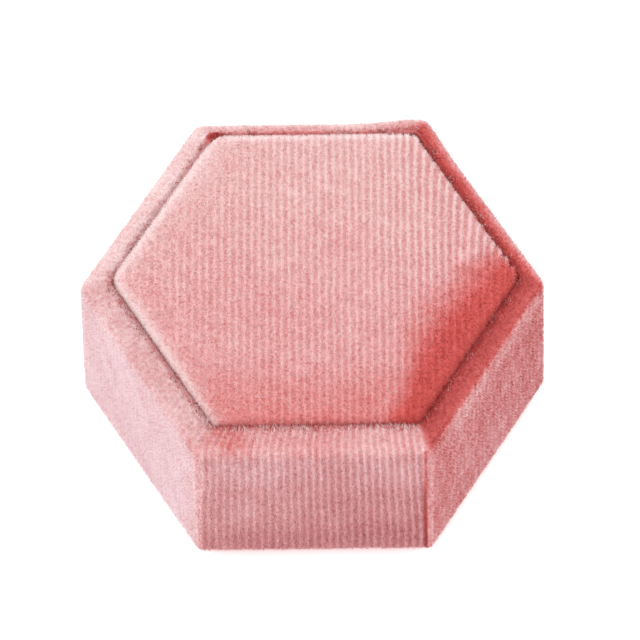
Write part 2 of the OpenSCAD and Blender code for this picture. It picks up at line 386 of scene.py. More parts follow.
def pileTree(name, tones):
    # stands short fibres on the cloth, each closed at its root, in one of five tones
    tree, given, result = newTree(name, [
        ("Fibres per square mm", "NodeSocketFloat", 16.0),
        ("Fibre length", "NodeSocketFloat", 0.5 * mm),
        ("Fibre width", "NodeSocketFloat", 0.16 * mm),
        ("Lean", "NodeSocketVector", (0.0, 0.0, 0.0)),
        ("Scatter", "NodeSocketFloat", 0.55),
        ("Rib contrast", "NodeSocketFloat", 0.25),
        ("Tone scatter", "NodeSocketFloat", 0.42),
        ("Cover", "NodeSocketString", "pileCover"),
        ("Seed", "NodeSocketInt", 1),
    ])
    put, maths = partial(addNode, tree), partial(addMaths, tree)
    named = partial(addNamed, tree)
    mix = lambda operation, inputs: put("ShaderNodeVectorMath", {"operation": operation}, inputs).outputs[0]
    thick = maths("MULTIPLY_ADD", named("pileHeight"), 0.4, 0.65)
    thick = put("ShaderNodeClamp", None, {0: thick}).outputs[0]
    density = maths("MULTIPLY", maths("MULTIPLY", given["Fibres per square mm"], 1 / mm ** 2),
                    maths("MULTIPLY", thick, named(given["Cover"])))
    spread = put("GeometryNodeDistributePointsOnFaces", {"distribute_method": "RANDOM"},
                 {"Mesh": given["Geometry"], "Density": density, "Seed": given["Seed"]})
    chance = put("FunctionNodeRandomValue", {"data_type": "FLOAT"},
                 {"Min": -0.5, "Max": 0.5, "Seed": given["Seed"]}).outputs["Value"]
    # painted highlight and shade: the pile is paler on the rib crests and deeper in the valleys
    onRib = maths("MULTIPLY", maths("SUBTRACT", named("pileHeight"), 0.45), given["Rib contrast"])
    tone = maths("ADD", maths("ADD", named("nap"), onRib), maths("MULTIPLY", chance, given["Tone scatter"]))
    tone = put("ShaderNodeClamp", None, {0: tone, "Max": 0.999}).outputs[0]
    tone = maths("FLOOR", maths("MULTIPLY", tone, float(len(tones))))
    points = put("GeometryNodeStoreNamedAttribute", {"data_type": "FLOAT", "domain": "POINT"},
                 {"Geometry": spread.outputs["Points"], "Name": "tone", "Value": tone}).outputs[0]
    toss = put("FunctionNodeRandomValue", {"data_type": "FLOAT_VECTOR"}, {
        "Min": (-1, -1, -1), "Max": (1, 1, 1), "Seed": maths("ADD", given["Seed"], 7)}).outputs["Value"]
    way = mix("ADD", {0: spread.outputs["Normal"], 1: given["Lean"]})
    way = mix("ADD", {0: way, 1: mix("SCALE", {0: toss, "Scale": given["Scatter"]})})
    turned = put("FunctionNodeAlignRotationToVector", {"axis": "Z"}, {"Vector": way}).outputs[0]
    size = put("FunctionNodeRandomValue", {"data_type": "FLOAT"},
               {"Min": 0.6, "Max": 1.15, "Seed": maths("ADD", given["Seed"], 3)}).outputs["Value"]
    fibre = put("GeometryNodeMeshCone", {"fill_type": "NGON"}, {
        "Vertices": 3, "Side Segments": 1, "Fill Segments": 1, "Radius Top": 0.0,
        "Radius Bottom": maths("MULTIPLY", given["Fibre width"], 0.5), "Depth": given["Fibre length"]})
    planted = put("GeometryNodeInstanceOnPoints", None, {
        "Points": points, "Instance": fibre.outputs["Mesh"], "Rotation": turned, "Scale": size}).outputs[0]
    pile = put("GeometryNodeRealizeInstances", None, {"Geometry": planted}).outputs[0]
    for i, material in enumerate(fibreMaterials(name, tones)):
        chosen = put("FunctionNodeCompare", {"data_type": "FLOAT", "operation": "GREATER_THAN"},
                     {"A": named("tone"), "B": i - 0.5}).outputs[0]
        pile = put("GeometryNodeSetMaterial", None,
                   {"Geometry": pile, "Selection": chosen, "Material": material}).outputs[0]
    tree.links.new(pile, result[0])
    return tree


# Velvets

pileSurface = {"Roughness": 0.9, "Specular IOR Level": 0.25, "Sheen Weight": 0.45,
               "Sheen Roughness": 0.35, "Sheen Tint": linear("#ffe6e3")}


def fibreMaterials(name, tones):
    # the cut ends of the pile: one dye in five tones, lit and shaded copies painted for how the pile catches
    # the light, as well as its own paler and deeper places
    made = []
    for i, tone in enumerate(tones):
        material, shader = newMaterial(f"{name} {i + 1}", pileSurface)[:2]
        shader.inputs["Base Color"].default_value = linear(tone)
        made.append(material)
    return made


def evenStops(tones):
    return [(i / (len(tones) - 1), tone) for i, tone in enumerate(tones)]


def readValue(tree, key):
    # a value that the mesh carries, read in a material
    return addNode(tree, "ShaderNodeAttribute", {"attribute_name": key}).outputs["Fac"]


def ribbedVelvetMaterial():
    # polyester velvet pressed into ribs: matt from above, with a pale bloom at grazing angles
    material, shader, tree = newMaterial("ribbed polyester velvet", pileSurface)
    put, maths, named = partial(addNode, tree), partial(addMaths, tree), partial(readValue, tree)
    grain = addNoise(tree, objectPlace(tree), 0.35 * mm, 3.0, 0.7)
    # painted shade in the rib valleys and where the pile is low, broken up by the grain
    depth = maths("ADD", named("pileHeight"), maths("MULTIPLY_ADD", grain, 0.9, -0.45))
    shade = addRamp(tree, depth, [(0.0, "#e8d0ce"), (0.35, "#f6ecea"), (0.7, "#ffffff"), (1.0, "#ffffff")])
    # the dye's tone, carrying the lie of the pile and painted light and shade from the mesh
    dyeWithPaintedLight = put("ShaderNodeMix", {"data_type": "RGBA"}, {
        "Factor": named("onWall"), 6: addRamp(tree, named("nap"), evenStops(topTones)),
        7: addRamp(tree, named("nap"), evenStops(wallTones))}).outputs[2]
    mixed = put("ShaderNodeMix", {"data_type": "RGBA", "blend_type": "MULTIPLY"},
                {"Factor": 1.0, 6: dyeWithPaintedLight, 7: shade}).outputs[2]
    paintSurface(tree, shader, mixed, grain, 0.5, 0.1 * mm)
    return material


def shortVelvetMaterial():
    # short-pile lining velvet: smooth and soft, with random paler and darker places, painted shade at the
    # rolls' folded ends and painted light and shade on the collar's sides
    material, shader, tree = newMaterial("short pile velvet", pileSurface)
    maths = partial(addMaths, tree)
    grain = addNoise(tree, objectPlace(tree), 0.25 * mm, 3.0, 0.7)
    tone = maths("ADD", readValue(tree, "nap"), maths("MULTIPLY_ADD", grain, 0.5, -0.25))
    paintSurface(tree, shader, addRamp(tree, tone, evenStops(innerTones)), grain, 0.6, 0.08 * mm)
    return material


ribs = ribTree()
topPile = pileTree("velvet pile", topTones)
wallPile = pileTree("velvet wall pile", wallTones)
shadedPile = pileTree("velvet shaded wall pile", shadedTones)
coolRimPile = pileTree("velvet left rim pile", coolRimTones)
innerPile = pileTree("short velvet pile", innerTones)
ribbedVelvet = ribbedVelvetMaterial()
shortVelvet = shortVelvetMaterial()


def growPile(skin, name, tree, values, body="lid"):
    # the pile is its own piece, so that the cloth beneath keeps its own patterned material
    return placePiece(runNodes(skin, tree, values, name), body)


# Rings of cloth round the hexagon

def hexLoop(flat, radius, ribsPerSide, steps, cornerSteps):
    # points round a hexagon with round corners, and the count of ribs up to each point
    points, phases = [], []
    half = (flat - radius) * tan30
    for side, out in enumerate(sideNormals()):
        along = np.array([-out[1], out[0]])
        for f in np.arange(steps) / steps:
            points.append(out * flat + along * half * (2 * f - 1))
            phases.append(side * (ribsPerSide + 1) + 0.5 + f * ribsPerSide)
        for f in np.arange(cornerSteps) / cornerSteps:
            angle = math.radians(60 * f)
            bent = out * math.cos(angle) + along * math.sin(angle)
            points.append(out * (flat - radius) + along * half + radius * bent)
            phases.append((side + 1) * (ribsPerSide + 1) - 0.5 + f)
    return np.array(points), np.array(phases)


def arc(centreOut, centreUp, radius, fromAngle, toAngle, steps):
    angles = np.radians(np.linspace(fromAngle, toAngle, steps))
    return [(centreOut + radius * math.cos(a), centreUp + radius * math.sin(a)) for a in angles]


def ringGrid(path, cornerRadius, ribsPerSide, steps, cornerSteps):
    # path: (distance from the axis, height) in mm; cornerRadius is worked out for each of its points
    rows, phases = [], []
    for flat, z in path:
        radius = min(cornerRadius(flat, z), 0.9 * flat)
        ring, count = hexLoop(flat, radius, ribsPerSide, steps, cornerSteps)
        rows.append(np.column_stack([ring, np.full(len(ring), z)]))
        phases.append(count)
    flats = np.repeat(np.array(path)[:, :1], len(phases[0]), axis=1)
    return np.array(rows) * mm, np.array(phases), flats


# The lid's velvet, one wrap from inside the skirt to the bottom of the recess

wrap = {
    "ribsPerSide": 30,
    "columnsPerRib": 6,
    "upperCorner": 2.4,      # mm, radius of the upright corners at the rim
    "lowerCorner": 0.9,      # mm
    "recessCorner": 0.8,     # mm
    "outerRound": 2.0,       # mm, from the wall to the rim
    "innerRound": 1.4,       # mm, from the rim into the recess
    "edgeRound": 1.1,        # mm, lower edge
    "groove": 0.5,           # mm
    "liningStrip": 0.7,      # mm, thickness of the card inside the skirt
    "ribHeight": 0.13,       # mm
    "swelling": 0.9,         # mm, at the back right corner
    "flat": (270, 57),       # mm
}


def wrapPath(out, inner, bottom, rim):
    # up inside the lower edge, round it, up the wall, over the rim and into the recess, in mm
    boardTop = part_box("lid_top_board")[1].z / mm
    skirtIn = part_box("lid_lining_strip")[1].y / mm - wrap["liningStrip"]
    a, b, e = wrap["outerRound"], wrap["innerRound"], wrap["edgeRound"]
    path = [(skirtIn, bottom + h) for h in (8.2, 5.5, 3, 1.4)]
    path += arc(skirtIn + e, bottom + e, e, 180, 270, 5)
    path += arc(out - e, bottom + e, e, 270, 360, 7)
    path += [(out, z) for z in np.linspace(bottom + e, rim - a, 48)[1:-1]]
    path += arc(out - a, rim - a, a, 0, 90, 10)
    path += arc(inner + b, rim - b, b, 90, 135, 7)
    # the velvet is squeezed against the panel below the groove, then runs in under it
    squeezed = ((-0.1, 0.5), (0.2, 0.6), (0.38, 0.7), (0.4, 1.8))
    path += [(inner - inward, rim - down) for inward, down in squeezed]
    tuckedIn = ((0.38, 1.1), (0.45, 0.8), (1.0, 0.7), (4.0, 0.7))
    path += [(inner - inward, boardTop + above) for inward, above in tuckedIn]
    return path


def buildLidVelvet():
    low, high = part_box("lid_velvet")
    out, bottom, rim = high.y / mm, low.z / mm, high.z / mm
    panelLow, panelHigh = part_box("panel_velvet")
    centre = (panelLow + panelHigh) / 2
    inner = (panelHigh.y - centre.y) / mm + wrap["groove"]

    def cornerRadius(flat, z):
        softening = smoothStep(8, rim - 3, z)
        upright = wrap["lowerCorner"] + (wrap["upperCorner"] - wrap["lowerCorner"]) * softening
        share = float(np.clip((flat - inner) / (out - inner), 0, 1))
        return wrap["recessCorner"] + (upright - wrap["recessCorner"]) * share

    grid, phases, flats = ringGrid(wrapPath(out, inner, bottom, rim), cornerRadius, wrap["ribsPerSide"],
                                   wrap["ribsPerSide"] * wrap["columnsPerRib"], wrap["columnsPerRib"])
    x, y, z = (grid[..., i] / mm for i in range(3))
    shares = sideShares(grid)
    onTop = (flats < out - 0.4) & (z > rim - 3)
    fade = bySide(shares, napAndLightLevels["rimFade"])
    onRim = np.where(onTop, 1, smoothStep(rim - 0.6 - fade, rim - 0.6, z))
    # the walls and rims are painted paler or deeper side by side: partly the lie of the pile, partly painted
    # light on the left sides and painted shade on the right ones
    nap = bySide(shares, napAndLightLevels["walls"]) * (1 - onRim) + bySide(shares, napAndLightLevels["rims"]) * onRim
    # a painted haze of light under the rim at the front right, a pale lower edge, and painted shade inside
    # the groove
    onWall = (flats > out - 0.5)
    nap += 0.11 * shares[1] * hump(z, rim - 4.6, 2.6) * onWall
    nap += 0.14 * (1 - smoothStep(bottom + 0.6, bottom + 1.6, z)) * (flats > out - 2)
    # painted shade inside the groove, set side by side
    deep = (1 - smoothStep(rim - 0.7, rim - 0.1, z)) * (flats < inner + 1.4)
    nap += deep * (bySide(shares, napAndLightLevels["grooves"]) - nap)
    # painted highlight along the outer edge of the rim's right sides
    nap += 0.1 * shares[1] * smoothStep(out - 2.0, out - 0.4, flats) * (z > rim - 2.4)
    nap += (0.34 * shares[2] + 0.2 * shares[3]) * smoothStep(out - 2.6, out - 0.3, flats) * (z > rim - 2.4)
    # painted shade in the fold at the upright corner on the right of the front, with a painted highlight
    # beside it, and a warm band at the corner on its left
    corner = out * tan30
    front = (y < -out * 0.9) & onWall & (z < rim - 1.5)
    nap -= 0.5 * hump(x, corner - 1.0, 0.35) * front
    nap += 0.12 * hump(x, corner - 0.1, 0.5) * front
    # the deep tone of the rim runs down beside it, and the far end of that side is deeper too
    nap -= 0.22 * hump(x, corner + 1.2, 2.4) * smoothStep(rim - 9, rim - 2, z) * shares[1] * onWall
    nap -= 0.08 * smoothStep(30, 44, x) * smoothStep(14, 32, z) * shares[1] * onWall
    # a few reddish tufts on the rim's front, and streaks beside the groove at the front left
    nap -= 0.15 * hump(x, -16, 5) * shares[0] * (0.7 + drift(grid, 0.9)) * (z > rim - 2.5)
    nap += 0.08 * shares[5] * drift(grid, 0.8) * (z > rim - 3) * (1 - smoothStep(inner + 1, out - 0.4, flats))
    warm = 0.6 * hump(x, -corner - 0.6, 1.5) * (y < 0) * onWall + 0.8 * hump(x, corner - 0.9, 0.5) * front
    nap -= 0.2 * warm * shares[5]
    # the front is hazy under the rim and deeper low down
    nap += shares[0] * onWall * (0.1 * hump(z, rim - 7, 6) - 0.07 * smoothStep(16, 6, z) - 0.0018 * x)
    # painted shade in the groove's back left corner
    nap -= 0.6 * hump(x, -inner * tan30, 1.8) * hump(y, inner, 1.8) * (flats < inner + 0.9)
    # painted shade on the rim beside the groove, at the back and on the right
    beside = (1 - smoothStep(inner + 0.4, inner + 1.8, flats)) * (z > rim - 3)
    nap -= bySide(shares, [0, 0.12, 0.1, 0.2, 0, 0]) * beside
    nap += 0.06 * drift(grid, 9) + 0.05 * drift(grid, 3)
    nap += bySide(shares, [0.02, 0.14, 0.05, 0.02, 0.04, 0.06]) * drift(grid, 1.2) * onWall
    # the rim swells at its back right corner
    swell = wrap["swelling"] * hump(x, out * tan30 - 2, 7.5) * hump(y, out - 3, 6)
    swell *= smoothStep(rim - 6, rim - 1, z)
    # the recess stands off the middle of the lid
    off = np.clip((out - 1 - flats) / (out - 1 - inner), 0, 1) * (z > rim - 8)
    grid[..., 0] += off * centre.x
    grid[..., 1] += off * centre.y
    grid[..., 2] += swell * mm
    grid[..., 1] += 0.5 * swell * mm
    inSight = (flats > out - 2.6) * (z < rim - 0.5) + (z >= rim - 3.2)
    relief = bySide(shares, napAndLightLevels["wallRibs"]) * (1 - onRim) + bySide(shares, napAndLightLevels["rimRibs"]) * onRim
    relief *= 1 + 0.01 * x * shares[0]
    cool = (1 - onRim) * bySide(shares, [1, 0.55, 0.8, 1, 1, 1]) + onRim * bySide(shares, napAndLightLevels["rimCool"])
    atGroove = (flats < inner + 1.1) & (flats > inner - 0.1) & (z > rim - 1.9)
    attributes = {"ribPhase": phases, "nap": nap, "ribRelief": relief, "onWall": cool * (1 - warm),
                  "rimCover": onRim * inSight * (1 - shares[5]), "rimCover5": onRim * inSight * shares[5],
                  "grooveCover": atGroove * np.clip(0.4 + drift(grid, 2.5), 0, 1)}
    for side in range(6):
        attributes[f"wallCover{side}"] = shares[side] * (1 - onRim) * inSight
    piece = gridObject("lid_velvet_wrap", grid, True, attributes)
    runNodes(piece, ribs, {"Rib height": wrap["ribHeight"] * mm})
    placePiece(piece, "lid", ribbedVelvet, ["lid_velvet"])
    piles = [growPile(piece, "rim_velvet_pile", topPile,
                      {"Seed": 11, "Fibres per square mm": 18.0, "Cover": "rimCover"}),
             growPile(piece, "rim_velvet_pile_left", coolRimPile,
                      {"Seed": 12, "Fibres per square mm": 18.0, "Cover": "rimCover5"}),
             growPile(piece, "groove_velvet_pile", topPile,
                      {"Seed": 13, "Fibres per square mm": 20.0, "Fibre length": 1.0 * mm,
                       "Scatter": 0.8, "Tone scatter": 1.2, "Cover": "grooveCover"})]
    for side in range(6):
        # the right sides take deeper tones: painted shade on the sides away from the key light
        tree = shadedPile if side in (1, 2) else wallPile
        piles.append(growPile(piece, f"wall_velvet_pile_{side + 1}", tree, {
            "Seed": 20 + side, "Fibres per square mm": 14.0, "Cover": f"wallCover{side}"}))


# Filling the pads: each is blown up as cloth at a larger size, where the solver is steady

filling = {
    "enlarge": 20,
    "pressure": 4.0,
    "frames": 20,
}


def evenMesh(mesh, voxel):
    # an enlarged copy with even faces, "voxel" mm wide at real size
    pad = newObject("pad", mesh.copy())
    pad.data.transform(Matrix.Scale(filling["enlarge"], 4))
    modifier = pad.modifiers.new("even faces", "REMESH")
    modifier.mode = "VOXEL"
    modifier.voxel_size = voxel * mm * filling["enlarge"]
    even = finalMesh(pad)
    bpy.data.objects.remove(pad)
    return even


def fill(even, held):
    # blows the enlarged mesh up and gives where its points start and end, at real size
    pad = newObject("pad", even)
    pad.vertex_groups.new(name="held").add([int(i) for i in np.nonzero(held)[0]], 1.0, "REPLACE")
    before = coordinates(even) / filling["enlarge"]
    cloth = pad.modifiers.new("filling", "CLOTH")
    cloth.settings.use_pressure = True
    cloth.settings.uniform_pressure_force = filling["pressure"]
    cloth.settings.effector_weights.gravity = 0
    cloth.settings.vertex_group_mass = "held"
    cloth.point_cache.frame_end = filling["frames"]
    for number in range(1, filling["frames"] + 1):
        bpy.context.scene.frame_set(number)
    after = coordinates(finalMesh(pad)) / filling["enlarge"]
    bpy.context.scene.frame_set(1)
    bpy.data.objects.remove(pad)
    return before, after


# Hexagonal pads: the lid's top panel and its ceiling

tipRound = 0.5      # mm cut off a pad's left and right corners


def padGrid(flat, columns, rows, corners, offsets, toothing=0, ribWidth=1):
    # x across, and from the front edge to the back edge at each x, in mm, with each point's distance
    # from the edge; corners gives the rounding at the front, back left and back right
    tip = flat / cos30 - tipRound
    x = np.linspace(-tip, tip, columns)
    slanted = (flat - np.abs(x) * cos30) * 2
    nearTip = smoothStep(tip - 1.1, tip, np.abs(x))

    def halfDepth(rounding):
        h = np.clip(0.5 + 0.5 * (slanted - flat) / rounding, 0, 1)
        half = slanted * (1 - h) + flat * h - rounding * h * (1 - h)
        return half * np.sqrt(np.clip(1 - nearTip ** 2, 0, 1)) + 1e-4

    front = halfDepth(corners[0])
    back = halfDepth(np.where(x < 0, corners[1], corners[2]))
    ribWave = np.abs((x / ribWidth) % 1 - 0.5) * 2
    back = back - toothing * ribWave * smoothStep(flat * tan30 - 4, flat * tan30 + 3, x) * (1 - nearTip)
    share = 1 / np.sqrt(1 + np.gradient(halfDepth(corners[0]), x) ** 2)
    middle = np.linspace(0, 1, rows)[1:-1]
    edge = np.array(offsets)
    ys = []
    for low, high in zip(-front, back):
        inset = edge * min(1.0, (high - low) / 8)
        ys.append(np.concatenate([low + inset, (low + inset[-1]) * (1 - middle) + (high - inset[-1]) * middle,
                                  (high - inset)[::-1]]))
    y = np.array(ys).T
    xs = np.repeat(x[None], len(y), axis=0)
    return xs, y, np.minimum(y + front, back - y) * share


def crownShape(flat, xs, ys):
    # how high a filled hexagonal pad stands, from 0 at its edge to 1 at its middle
    distance = np.maximum(np.abs(ys), np.abs(xs) * cos30 + np.abs(ys) * 0.5) / flat
    plain = 1 - np.clip(distance, 0, 1) ** 2.5
    thickness = 5 * mm
    ring = hexLoop(flat - 0.5, 1.5, 1, 12, 3)[0]
    plate = bmesh.new()
    base = [plate.verts.new((px * mm, py * mm, 0)) for px, py in ring]
    top = bmesh.ops.extrude_face_region(plate, geom=[plate.faces.new(base)])["geom"]
    for vertex in (v for v in top if isinstance(v, bmesh.types.BMVert)):
        vertex.co.z += thickness
    bmesh.ops.recalc_face_normals(plate, faces=plate.faces)
    mesh = bpy.data.meshes.new("plate")
    plate.to_mesh(mesh)
    plate.free()
    even = evenMesh(mesh, 1.8)
    places = coordinates(even) / filling["enlarge"]
    reach = (np.abs(places[:, :2] @ sideNormals().T)).max(1)
    before, after = fill(even, (places[:, 2] < thickness * 0.5) | (reach > (flat - 1.6) * mm))
    # smoothed by one subdivision, and read off from above
    faces = [tuple(face.vertices) for face in even.polygons]
    shape = bpy.data.meshes.new("filled plate")
    shape.from_pydata(after.tolist(), [], faces)
    smooth = newObject("filled plate", shape)
    subdivision = smooth.modifiers.new("smooth", "SUBSURF")
    subdivision.levels = subdivision.render_levels = 2
    fine = finalMesh(smooth)
    bpy.data.objects.remove(smooth)
    surface = BVHTree.FromPolygons([tuple(v) for v in coordinates(fine)],
                                   [tuple(face.vertices) for face in fine.polygons])
    unfilled = Vector((0, 0, thickness))
    heights = np.array([(surface.ray_cast((px * mm, py * mm, 0.1), (0, 0, -1))[0] or unfilled).z
                        for px, py in zip(xs.ravel(), ys.ravel())]).reshape(xs.shape)
    rise = np.clip(heights - thickness, 0, None)
    rise = rise / rise.max() * smoothStep(0, 0.12, 1 - distance)
    print("pad filled, rise", round(float((heights - thickness).max() / mm), 2), "mm")
    return 0.45 * plain + 0.55 * rise


panel = {
    "ribs": 54,
    "columnsPerRib": 8,
    "rows": 112,
    "corners": (1.6, 4.0, 1.3),    # mm, rounding at the front, back left and back right
    "edgeRound": 2.0,              # mm
    "crown": 0.7,                  # mm
    "ribHeight": 0.12,             # mm
    "toothing": 1.1,               # mm, how far the ribs' ends stand out along the back right edge
    "fanning": 1.0,                # mm, how far the ribs are drawn over along that edge
    "turnedUnder": 7.0,            # mm
}

nearEdge = [0, 0.06, 0.16, 0.3, 0.5, 0.75, 1.05, 1.45, 1.95, 2.6, 3.4]


def buildPanelVelvet():
    low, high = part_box("panel_velvet")
    centre = (low + high) / 2
    flat, bottom, top = (high.y - centre.y) / mm, low.z / mm, high.z / mm
    columns = panel["ribs"] * panel["columnsPerRib"] + 1
    xs, ys, toEdge = padGrid(flat, columns, panel["rows"], panel["corners"], nearEdge, panel["toothing"],
                             (flat / cos30 - tipRound) * 2 / panel["ribs"])
    r = panel["edgeRound"]
    drop = r - np.sqrt(np.clip(r * r - np.clip(r - toEdge, 0, r) ** 2, 0, None))
    zs = top - panel["crown"] * (1 - crownShape(flat, xs, ys)) - drop
    grid = np.stack([xs, ys, zs], -1)
    # down the sides and turned under
    steps = np.linspace(0, 1, 6)[1:]
    front, back = [], []
    for edge, rows, inward in ((grid[0], front, 1), (grid[-1], back, -1)):
        for share in steps:
            rows.append(edge * [1, 1, 1 - share] + [0, 0, 1] * (np.full((columns, 1), bottom) * share))
        under = rows[-1].copy()
        under[:, 1] += inward * np.minimum(panel["turnedUnder"], np.abs(edge[:, 1]) * 0.6)
        rows.append(under)
    grid = np.concatenate([np.array(front[::-1]), grid, np.array(back)]) * mm
    x, y = grid[..., 0] / mm, grid[..., 1] / mm
    fromBackRight = flat - (x * cos30 + y * 0.5)
    drawn = panel["fanning"] * np.exp(-np.clip(fromBackRight, 0, None) / 2.6) * smoothStep(14, 24, x)
    width = (flat / cos30 - tipRound) * 2
    phases = (x - drawn * smoothStep(2, 10, y)) / width * panel["ribs"] + panel["ribs"] / 2
    inSight = smoothStep(top - 4.0, top - 3.2, grid[..., 2] / mm)
    nap, relief = panelNapAndLight(grid, flat)
    # painted shade: the pad's sides, down in the groove, are drawn to a deeper tone
    nap -= (nap - 0.4) * (1 - smoothStep(top - 3.1, top - 2.2, grid[..., 2] / mm))
    grid[..., :2] += [centre.x, centre.y]
    piece = gridObject("panel_velvet_cover", grid, False, {
        "ribPhase": phases, "nap": nap, "onWall": 0 * x, "ribRelief": relief,
        "leftCover": inSight * (x < 0), "rightCover": inSight * (x >= 0)})
    runNodes(piece, ribs, {"Rib height": panel["ribHeight"] * mm})
    placePiece(piece, "lid", ribbedVelvet, ["panel_velvet"])
    for i, half in enumerate(("left", "right")):
        growPile(piece, f"panel_velvet_pile_{half}", topPile,
                 {"Seed": 5 + i, "Fibres per square mm": 18.0, "Cover": half + "Cover"})


def satinMaterial():
    # polyester satin: smooth floats along X give it a long soft shine, over a very fine weave
    material, shader, tree = newMaterial("blush satin", {
        "Roughness": 0.38, "Anisotropic": 0.6, "Sheen Weight": 0.2, "Sheen Roughness": 0.4})
    maths = partial(addMaths, tree)
    place = objectPlace(tree)
    stretched = addNode(tree, "ShaderNodeMapping", None,
                        {"Vector": place, "Scale": (0.12, 1, 0.4)}).outputs[0]
    # threads 0.25 mm apart, coarser than real ones so that they show
    threads = addNoise(tree, stretched, 0.25 * mm, 2.0, 0.6)
    slow = addNoise(tree, place, 14 * mm, 2.0)
    tone = maths("ADD", maths("MULTIPLY", threads, 0.45), maths("MULTIPLY", slow, 0.6))
    colour = addRamp(tree, tone, [(0.3, "#d9aca5"), (0.5, "#eac6bf"), (0.75, "#f6ded8")])
    paintSurface(tree, shader, colour, threads, 0.35, 0.05 * mm)
    return material


ceiling = {
    "columns": 221,
    "rows": 70,
    "edgeRound": 0.6,      # mm
    "crown": 0.22,         # mm
    "puckers": 0.07,       # mm, gathers where the satin is drawn over the card's edge
}


def buildCeilingSatin(satin):
    low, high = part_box("ceiling_satin")
    flat, bottom, top = high.y / mm, low.z / mm, high.z / mm
    xs, ys, toEdge = padGrid(flat, ceiling["columns"], ceiling["rows"], (1.2, 1.2, 1.2), nearEdge)
    r = ceiling["edgeRound"]
    rise = r - np.sqrt(np.clip(r * r - np.clip(r - toEdge, 0, r) ** 2, 0, None))
    angle = np.arctan2(ys, xs)
    gathers = np.sin(angle * 78 + 2 * np.sin(angle * 5)) * np.exp(-toEdge / 2.2) * smoothStep(0, 0.6, toEdge)
    crown = ceiling["crown"] * (1 - crownShape(flat, xs, ys))
    zs = bottom + crown + rise + ceiling["puckers"] * (1 + gathers)
    grid = np.stack([xs, ys, zs], -1)
    sides = [grid[0] * [1, 1, 0] + [0, 0, top - 0.05], grid[-1] * [1, 1, 0] + [0, 0, top - 0.05]]
    grid = np.concatenate([sides[0][None], grid, sides[1][None]])[:, ::-1] * mm
    piece = gridObject("ceiling_satin_pad", grid, False)
    placePiece(piece, "lid", satin, ["ceiling_satin"])


# The ring cushion's three rolls

rolls = {
    "voxel": 0.8,              # mm, faces of the cloth that is blown up
    "start": 0.3,              # mm, how far outside the foam the cloth starts
    "reach": (0.2, 0.2, 0.55), # mm, how far a point may move in x, y and z
    "creases": 0.16,           # mm
    "clear": 0.4,              # mm, least distance from the foam
    "fibres": 9.0,             # per square mm
    "seeds": {"front": 45, "middle": 46, "back": 44},
}


def buildRoll(place):
    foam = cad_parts[place + "_roll_foam"]
    low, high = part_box(place + "_roll_foam")
    even = evenMesh(foam.data, rolls["voxel"])
    normals = np.array([v.normal for v in even.vertices])
    start = coordinates(even) / filling["enlarge"] + normals * rolls["start"] * mm
    even.vertices.foreach_set("co", (start * filling["enlarge"]).ravel())
    before, after = fill(even, start[:, 2] < low.z + 1.0 * mm)
    reach = np.array(rolls["reach"]) * mm
    places = before + np.clip(after - before, -reach, reach)
    mesh = bpy.data.meshes.new(place + "_roll_cushion")
    mesh.from_pydata(places.tolist(), [], [tuple(face.vertices) for face in even.polygons])
    piece = newObject(mesh.name, mesh)
    subdivision = piece.modifiers.new("smooth", "SUBSURF")
    subdivision.levels = subdivision.render_levels = 1
    piece.data = finalMesh(piece)
    piece.modifiers.clear()
    # creases where the cloth is folded in at the two ends, and a slight waviness along the top
    places = coordinates(piece.data)
    normals = np.array([v.normal for v in piece.data.vertices])
    middle = (low.y + high.y) / 2
    fromEnd = (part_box("tray_card")[1].y - np.abs(places[:, :2] @ sideNormals()[[1, 2]].T).max(1)) / mm
    angle = np.arctan2(places[:, 2] - low.z, places[:, 1] - middle)
    folds = np.sin(angle * 9 + 3 * np.sin(places[:, 0] / mm)) * np.exp(-np.clip(fromEnd, 0, None) / 3)
    wave = drift(places, 7)
    shift = rolls["creases"] * (folds + 0.6 * wave) - 0.1
    places += normals * (shift * smoothStep(low.z, low.z + 3 * mm, places[:, 2]) * mm)[:, None]
    surface = BVHTree.FromPolygons([tuple(v) for v in coordinates(foam.data)],
                                   [tuple(face.vertices) for face in foam.data.polygons])
    for _ in range(3):
        for i, point in enumerate(places):
            nearest, normal = surface.find_nearest(tuple(point))[:2]
            away = Vector(point) - nearest
            height = away.length if away.dot(normal) >= 0 else -away.length
            if height < rolls["clear"] * mm:
                places[i] += normals[i] * (rolls["clear"] * mm - height)
    piece.data.vertices.foreach_set("co", places.ravel())
    nap = 0.6 + 0.16 * drift(places, 11) + 0.1 * drift(places, 4)
    # painted shade where the cloth is folded in at the two ends
    nap -= 0.25 * np.exp(-np.clip(fromEnd, 0, None) / 2.5)
    storeValues(piece.data, {
        "nap": nap, "pileHeight": 0 * nap + 0.6,
        "pileCover": smoothStep(low.z + 3 * mm, low.z + 6 * mm, places[:, 2])})
    piece.data.shade_smooth()
    placePiece(piece, "base", shortVelvet, [place + "_roll_cover"])
    growPile(piece, place + "_roll_pile", innerPile, {
        "Seed": rolls["seeds"][place], "Fibres per square mm": rolls["fibres"], "Fibre length": 0.3 * mm,
        "Fibre width": 0.13 * mm, "Cover": "pileCover"}, "base")


# The collar's velvet, the paper over the base and the felt under it

collar = {
    "steps": 44,
    "cornerRadius": 1.2,      # mm
    "edgeRound": 1.1,         # mm
    "fibres": 8.0,            # per square mm
    "flat": (238, 21),        # mm
}


